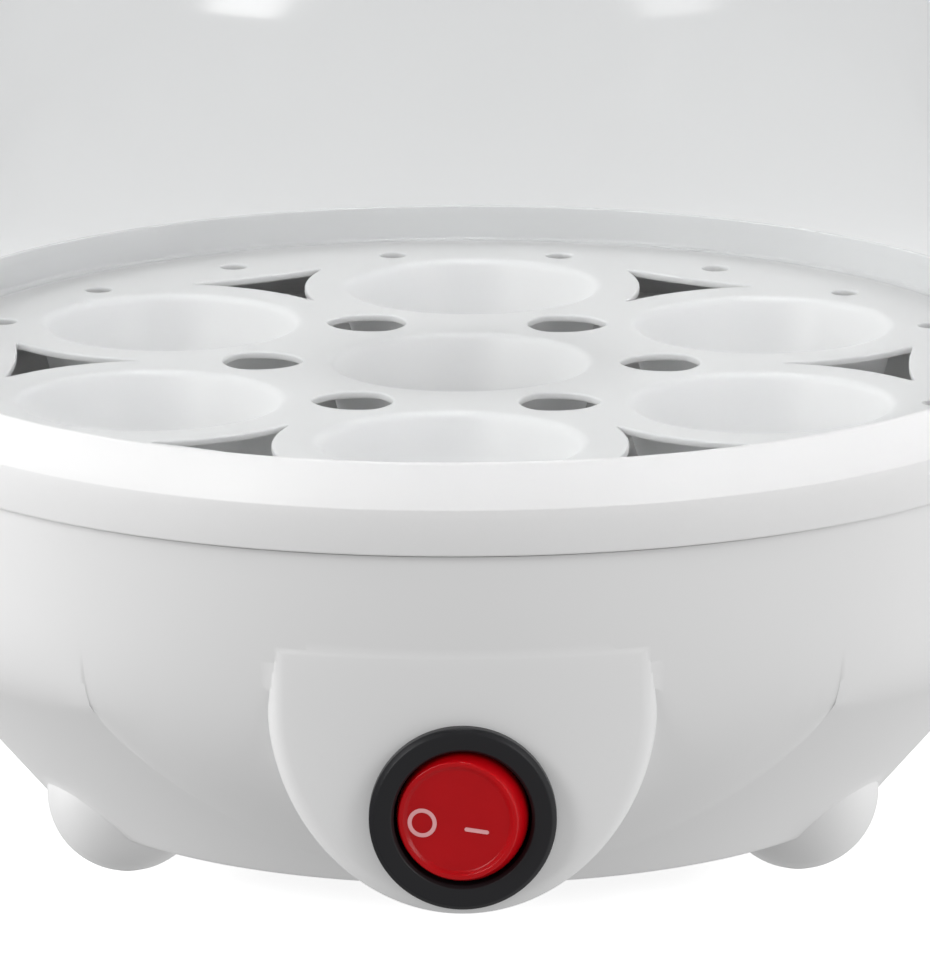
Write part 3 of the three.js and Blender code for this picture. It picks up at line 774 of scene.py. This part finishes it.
# %% Join the nose, hollow it, and cut the seats of feet, switch and gland
carve(housing, [nose_block(0, NOSE_EDGE, NOSE_R, WALL / 2)], "UNION")
carve(housing, [nose_block(NOSE_WALL, 1.0, NOSE_R - NOSE_SKIN, WALL + 1)])
carve(housing, [ball_at(azimuth, FOOT_R + 0.03) for azimuth in FOOT_ANGLES])
carve(housing, [rod_along_y(10.1, -85, -60, SWITCH_Z), rod_along_y(5.0, 60, 85, 33.0)])
housing.name = "base_moulding"
settle(housing, "base", housing_white, ["base_housing"], 40)

# %% [markdown]
# ## Ball feet
# Three white balls stand under the facets. Each is screwed on from below, and a pale
# rubber pad hides the screw. The pad goes on with the curve of the ball. A ball
# primitive would do for the shape, but a turned outline has the pad's recess too.

# %% Turn the feet and their pads
def ball_outline():
    """Half of a ball's section, with the recess for the pad."""
    outline = [(0, 2.8), (4.1, 2.8), (4.1, 0.9)]
    first = math.degrees(math.asin((0.9 - FOOT_R) / FOOT_R))
    for k in range(49):
        a = math.radians(first + (90 - first) * k / 48)
        outline.append((FOOT_R * math.cos(a), FOOT_R + FOOT_R * math.sin(a)))
    outline[-1] = (0, 2 * FOOT_R)
    return outline


for number, azimuth in enumerate(FOOT_ANGLES, 1):
    x, y = compass(FOOT_PITCH, azimuth)
    stand = Matrix.Translation((x * MM, y * MM, 0))
    ball = blank(f"ball_{number}", *turned(ball_outline(), 96, False), stand)
    settle(ball, "base", housing_white, [f"ball_foot_{number}"])
    pad_outline = [(0, 0), (1.3, 0.08), (2.6, 0.33), (3.9, 0.76), (3.9, 2.5), (0, 2.5)]
    pad = blank(f"pad_{number}", *turned(pad_outline, 48, False), stand)
    settle(pad, "base", pad_rubber, [f"foot_pad_{number}"])

# %% [markdown]
# ## The water pan
# A shallow pan of spun steel lies on the ledge inside the base. It is what shows,
# grey, through the tray's holes. It could be pressed from a disc with a modifier,
# but a real pan is spun, and so it is turned here.

# %% Turn the pan
pan_outline = eased(
    [
        (0, 40, 0),
        (59.8, 40, 2.0),
        (67.4, 54.3, 1.2),
        (73.8, 54.3, 0.3),
        (73.8, 55.3, 0.3),
        (66.7, 55.3, 1.8),
        (59.2, 41, 1.6),
        (0, 41, 0),
    ],
    6,
    False,
)
pan = blank("steel_pan", *turned(pan_outline, 160, False))
settle(pan, "base", pan_steel, ["heating_pan"])

# %% [markdown]
# ## The egg tray
# The tray is one moulding: a flat plate with seven cups, steam holes of three
# kinds, and a raised ring whose outside hangs over the base as a skirt. The plate's
# two faces are filled between outlines, and from each outline a profile is swept:
# a small eased edge at a hole, a whole cup at a mouth, the ring at the outside.
# Cutting holes out of a disc would leave hard edges that a real moulding never has.

# %% Outlines of the holes
TRAY_Z = 61.6
PLATE = 1.0
UNDER = TRAY_Z - PLATE
TRAY_TURN = -1.79
CUP_PITCH = 45.4
CUP_FLOOR = TRAY_Z - 13


def circle(x, y, radius, count):
    spokes = [2 * math.pi * k / count for k in range(count)]
    return [(x + radius * math.cos(a), y + radius * math.sin(a)) for a in spokes]


def bowed(corners, bows, steps):
    """A closed outline whose sides bow out, or in where the bow is negative."""
    outline = []
    for i, start in enumerate(corners):
        a, b = Vector(start), Vector(corners[(i + 1) % len(corners)])
        along = b - a
        normal = Vector((along.y, -along.x)).normalized()
        middle = (a + b) / 2 + 2 * bows[i] * normal
        for k in range(steps):
            t = k / steps
            outline.append(a.lerp(middle, t).lerp(middle.lerp(b, t), t))
    return outline


def softened_tips(outline, rounds=2):
    """Rounds the tips of an outline a little by averaging neighbours."""
    for _ in range(rounds):
        count = len(outline)
        outline = [
            (outline[i - 1] + outline[i] * 2 + outline[(i + 1) % count]) / 4
            for i in range(count)
        ]
    return outline


hole_outlines = []
for i in range(18):
    hole_outlines.append(circle(*compass(65.7, 10 + 20 * i), 1.75, 24))
for i in range(6):
    azimuth = 30 + 60 * i
    centre = Vector(compass(26.2, azimuth))
    tips = [centre + Vector(compass(5.7, azimuth + turn)) for turn in (180, 300, 60)]
    hole_outlines.append(softened_tips(bowed(tips, (2.2, 2.2, 2.2), 14), 2))
    tips = [compass(41.0, azimuth), compass(60.2, azimuth - 10.2), compass(60.2, azimuth + 10.2)]
    hole_outlines.append(softened_tips(bowed(tips, (-2.2, -0.8, -2.2), 18), 2))
seats = [(0.0, 0.0)] + [compass(CUP_PITCH, 60 * i) for i in range(6)]
print("holes:", len(hole_outlines), "cups:", len(seats))

# %% Profiles that are swept along the outlines
HOLE_EDGE = 0.25
hole_profile = []
for k in range(5):
    a = math.radians(90 * k / 4)
    hole_profile.append((HOLE_EDGE * (1 - math.sin(a)), TRAY_Z - HOLE_EDGE * (1 - math.cos(a))))
for k in range(5):
    a = math.radians(90 * k / 4)
    hole_profile.append((HOLE_EDGE * (1 - math.cos(a)), UNDER + HOLE_EDGE * (1 - math.sin(a))))

cup_profile = eased(
    [
        (18.9, TRAY_Z, 0),
        (16.6, TRAY_Z, 2.6),
        (14.4, CUP_FLOOR + 6.4, 9.0),
        (10.0, CUP_FLOOR + 0.3, 4.0),
        (6.0, CUP_FLOOR, 0.4),
        (6.0, CUP_FLOOR - 1.4, 0.4),
        (11.0, CUP_FLOOR - 0.9, 4.0),
        (16.0, CUP_FLOOR + 6.0, 9.0),
        (17.65, UNDER, 1.2),
        (18.9, UNDER, 0),
    ],
    7,
    False,
)
ring_profile = eased(
    [
        (74.6, TRAY_Z, 0),
        (75.55, TRAY_Z, 0.5),
        (75.55, 66.2, 0.35),
        (76.15, 66.2, 0.5),
        (78.95, 60.85, 0.6),
        (79.2, 55.0, 0.45),
        (78.4, 55.0, 0.4),
        (77.2, UNDER, 0.8),
        (74.6, UNDER, 0),
    ],
    6,
    False,
)
print("cup profile points:", len(cup_profile), "ring:", len(ring_profile))

# %% Fill the two faces of the plate and sweep the profiles
def filled(loops):
    """Triangles between the first loop, which is the outside, and the holes in it."""
    points, edges = [], []
    for loop in loops:
        start = len(points)
        points += [Vector(p) for p in loop]
        edges += [(start + k, start + (k + 1) % len(loop)) for k in range(len(loop))]
    found = delaunay_2d_cdt(points, edges, [], 1, 1e-6)
    corners, triangles = np.array([tuple(p) for p in found[0]]), np.array(found[2])
    middles = corners[triangles].mean(axis=1)
    keep = np.ones(len(triangles), bool)
    for loop in loops[1:]:
        keep &= ~inside(middles, np.array([tuple(p) for p in loop]))
    return corners, triangles[keep]


def inside(spots, loop):
    """True for each spot that lies inside the loop."""
    result = np.zeros(len(spots), bool)
    for (x0, y0), (x1, y1) in zip(loop, np.roll(loop, -1, axis=0)):
        if y0 == y1:
            continue
        between = (spots[:, 1] > y0) != (spots[:, 1] > y1)
        crossing = x0 + (spots[:, 1] - y0) * (x1 - x0) / (y1 - y0)
        result ^= between & (spots[:, 0] < crossing)
    return result


def swept(rings):
    """Quads that join each ring of points to the next."""
    points = [p for ring in rings for p in ring]
    count = len(rings[0])
    faces = []
    for i in range(len(rings) - 1):
        for k in range(count):
            j = (k + 1) % count
            faces.append((i * count + k, i * count + j, (i + 1) * count + j, (i + 1) * count + k))
    return points, faces


def shifted(loop, inset):
    """A loop moved along its own normals, into the hole for a positive inset."""
    spots = np.array([tuple(p) for p in loop])
    along = np.roll(spots, -1, axis=0) - np.roll(spots, 1, axis=0)
    along /= np.linalg.norm(along, axis=1)[:, None]
    normals = np.stack([-along[:, 1], along[:, 0]], axis=1)
    area = np.sum(spots[:, 0] * np.roll(spots[:, 1], -1) - spots[:, 1] * np.roll(spots[:, 0], -1))
    return spots + normals * inset * (1 if area > 0 else -1)


def tray_mesh():
    points, faces = [], []

    def add(more_points, more_faces):
        start = len(points)
        points.extend(more_points)
        faces.extend([tuple(start + k for k in face) for face in more_faces])

    outside = circle(0, 0, 74.6, 288)
    mouths = [circle(x, y, 18.9, 120) for x, y in seats]
    grown = [shifted(loop, -HOLE_EDGE) for loop in hole_outlines]
    for level in (TRAY_Z, UNDER):
        corners, triangles = filled([outside] + mouths + grown)
        add([(x, y, level) for x, y in corners], [tuple(t) for t in triangles])
    for loop in hole_outlines:
        rings = []
        for inset, up in hole_profile:
            rings.append([(x, y, up) for x, y in shifted(loop, -inset)])
        add(*swept(rings))
    for x, y in seats:
        rings = [[(px, py, up) for px, py in circle(x, y, r, 120)] for r, up in cup_profile]
        add(*swept(rings))
    add(*swept([[(px, py, up) for px, py in circle(0, 0, r, 288)] for r, up in ring_profile]))
    return points, faces


tray_place = Matrix.Rotation(math.radians(TRAY_TURN), 4, "Z")
tray = blank("tray_moulding", *tray_mesh(), tray_place)
settle(tray, "tray", tray_white, ["egg_tray"], 40)
for face in tray.data.polygons:
    if abs(face.normal.z) > 0.99999 and len(face.vertices) == 3:
        face.use_smooth = False
open_edges = bmesh.new()
open_edges.from_mesh(tray.data)
print("open edges of the tray:", sum(1 for e in open_edges.edges if not e.is_manifold))
open_edges.free()

# %% [markdown]
# ## The lid
# A clear dome stands loose inside the tray's ring. Its wall leans in a little and
# turns into a low dome with a knob and two steam holes. Its wall is turned with an
# outside and an inside, and the steam holes are drilled through both.

# %% Turn the lid and drill its steam holes
LID_R = 74.0
LID_T = 1.8
LID_FOOT = TRAY_Z + 0.3
LID_WALL_TOP = 118.0
LID_TOP = 150.0


def dome(offset):
    shoulder = LID_R - 3 - offset
    lift = LID_TOP - LID_WALL_TOP - offset
    arc = [math.radians(90 * k / 40) for k in range(41)]
    made = [Vector((shoulder * math.cos(a), LID_WALL_TOP + lift * math.sin(a))) for a in arc]
    made[-1] = Vector((2.6, LID_TOP - offset))
    return [p for p in made if p.x >= 2.6]


foot = eased(
    [
        (LID_R - LID_T, LID_FOOT + 8, 0),
        (LID_R - LID_T, LID_FOOT, 0.6),
        (LID_R, LID_FOOT, 0.6),
        (LID_R, LID_FOOT + 3, 0.4),
        (LID_R - 0.4, LID_FOOT + 3.6, 0.6),
        (LID_R - 0.6, LID_FOOT + 8, 0),
    ],
    5,
    False,
)
lid_outline = foot + dome(0) + dome(LID_T)[::-1]
lid = blank("lid_shell", *turned(lid_outline, 192))
drills = []
for x in (-24, 24):
    drill = blank("drill", *turned([(0, 130), (1.9, 130), (1.9, 160), (0, 160)], 32, False),
                  Matrix.Translation((x * MM, 0, 0)))
    drills.append(drill)
carve(lid, drills)
settle(lid, "lid", lid_clear, ["lid_dome"], 40)

# %% Turn the knob
knob_outline = eased(
    [
        (0, 150.3, 0),
        (9.0, 150.3, 0.3),
        (9.6, 151.6, 1.0),
        (8.2, 156.0, 6.0),
        (10.5, 162.0, 6.0),
        (15.0, 165.0, 3.0),
        (16.0, 167.5, 2.0),
        (14.5, 170.0, 2.0),
        (8.0, 171.5, 8.0),
        (0, 172.0, 0),
    ],
    6,
    False,
)
knob = blank("knob_moulding", *turned(knob_outline, 96, False))
settle(knob, "lid", housing_white, ["lid_knob"], 50)

# %% [markdown]
# ## The rocker switch
# A round black frame snaps into the nose, and a red rocker tilts in it on two pins.
# The left side is pressed in. The frame and the rocker are turned outlines, and the
# O and the dash are thin pale inlays that lie on the rocker's face.

# %% Turn the frame
SWITCH_ROLL = math.radians(6)
PIVOT_Y = -77.0
face_forward = Matrix.Rotation(math.radians(90), 4, "X")
switch_place = Matrix.Translation((0, 0, SWITCH_Z * MM)) @ Matrix.Rotation(SWITCH_ROLL, 4, "Y")

frame_outline = eased(
    [
        (0, 60, 0),
        (9.8, 60, 0.3),
        (9.8, 77.9, 0.1),
        (11.7, 77.9, 0.15),
        (11.7, 79.4, 0.4),
        (11.1, 79.9, 0.4),
        (8.95, 79.75, 0.3),
        (8.6, 79.2, 0.3),
        (8.6, 69.0, 0.2),
        (0, 69.0, 0),
    ],
    5,
    False,
)
switch_frame = blank(
    "switch_frame", *turned(frame_outline, 128, False), switch_place @ face_forward
)
settle(switch_frame, "base", switch_black, ["switch_body"], 45)

# %% Turn the rocker and tilt it
ROCKER_R = 8.3
HALF = 3.6
edge = math.sqrt(ROCKER_R**2 - HALF**2)
wall_arc = []
for k in range(13):
    up = -HALF + 0.35 + (2 * HALF - 0.7) * k / 12
    wall_arc.append((math.sqrt(ROCKER_R**2 - up**2), up, 0))
rocker_outline = eased(
    [(0, -HALF, 0), (edge - 0.3, -HALF, 0.3)]
    + wall_arc
    + [(edge + 0.02, HALF, 0.35), (edge - 0.5, HALF - 0.05, 0.3), (edge - 1.0, HALF - 0.45, 0.5),
       (0, HALF - 0.5, 0)],
    5,
    False,
)
tilt = Matrix.Rotation(math.radians(-10), 4, "Z")
rocker_place = switch_place @ Matrix.Translation((0, PIVOT_Y * MM, 0)) @ tilt
rocker = blank(
    "rocker_cap", *turned(rocker_outline, 128, False), rocker_place @ face_forward
)
settle(rocker, "rocker", rocker_red, ["switch_rocker"], 40)

# %% Lay the O and the dash on the rocker
FACE = HALF - 0.47
MARK_DROP = -1.0


def mark_ring(x, z, outer, stroke):
    """A thin ring with a rounded top, in the rocker's own face."""
    outline = eased(
        [(outer - stroke, -0.1, 0), (outer, -0.1, 0), (outer, 0.06, 0.04),
         (outer - stroke, 0.06, 0.04)],
        3,
    )
    points, faces = turned(outline, 64)
    lift = Matrix.Translation((x * MM, -FACE * MM, z * MM)) @ face_forward
    return blank("mark_off", points, faces, rocker_place @ lift)


def mark_dash(x, z, length, stroke):
    """A short bar with rounded ends, in the rocker's own face."""
    half, r = length / 2 - stroke / 2, stroke / 2
    loop = []
    for k in range(13):
        a = math.radians(-90 + 180 * k / 12)
        loop.append((half + r * math.cos(a), r * math.sin(a)))
    for k in range(13):
        a = math.radians(90 + 180 * k / 12)
        loop.append((-half + r * math.cos(a), r * math.sin(a)))
    rings = [[(px, py, -0.1) for px, py in loop], [(px, py, 0.06) for px, py in loop]]
    points, faces = swept(rings)
    count = len(loop)
    faces += [tuple(range(count)), tuple(range(count, 2 * count))]
    lift = Matrix.Translation((x * MM, -FACE * MM, z * MM)) @ face_forward
    return blank("mark_on", points, faces, rocker_place @ lift)


settle(mark_ring(-4.5, MARK_DROP, 1.84, 0.52), "rocker", mark_pink, ())
settle(mark_dash(2.43, MARK_DROP, 3.1, 0.5), "rocker", mark_pink, ())

# %% [markdown]
# ## The cord gland
# A black bush in the back wall, where the mains lead comes out on the real cooker.
# Its bore goes right through, so the outline is turned as a closed ring.

# %% Turn the gland
gland_outline = eased(
    [
        (3.5, 64.5, 0.2),
        (6.0, 64.5, 0.3),
        (6.0, 68.4, 0.3),
        (4.7, 69.0, 0.3),
        (4.7, 78.3, 0.1),
        (6.8, 78.3, 0.2),
        (6.6, 80.4, 1.0),
        (5.2, 81.84, 0.6),
        (3.5, 81.84, 0.5),
    ],
    4,
)
backward = Matrix.Translation((0, 0, 33 * MM)) @ Matrix.Rotation(math.radians(-90), 4, "X")
gland = blank("gland_bush", *turned(gland_outline, 64), backward)
settle(gland, "base", switch_black, ["cord_gland"], 45)

# %% [markdown]
# ## Pieces that keep their shape
# The heater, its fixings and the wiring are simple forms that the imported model
# already has right, so they stay and only take their finish.

# %% Give each kept piece its finish
finish_of_slot = {
    "black_plastic": cover_black,
    "rubber_pad": pad_rubber,
    "silicone": silicone,
    "lead_sleeve": sleeve,
    "pan_steel": pan_steel,
    "aluminium_plate": aluminium,
    "brass_blade": brass,
    "phenolic_body": phenolic,
    "nylon_block": nylon,
    "zinc_steel": zinc,
    "white_housing": housing_white,
    "white_tray": tray_white,
    "red_rocker": rocker_red,
    "clear_lid": lid_clear,
}
slot_of_node = {part["node"]: part["material_slot"] for part in frame["record"]["subparts"]}
kept = [name for name, node in frame["nodes"].items() if not node.hide_render]
for name in kept:
    node = frame["nodes"][name]
    node.data.materials.clear()
    node.data.materials.append(finish_of_slot[slot_of_node[name]])
print("kept pieces:", len(kept))
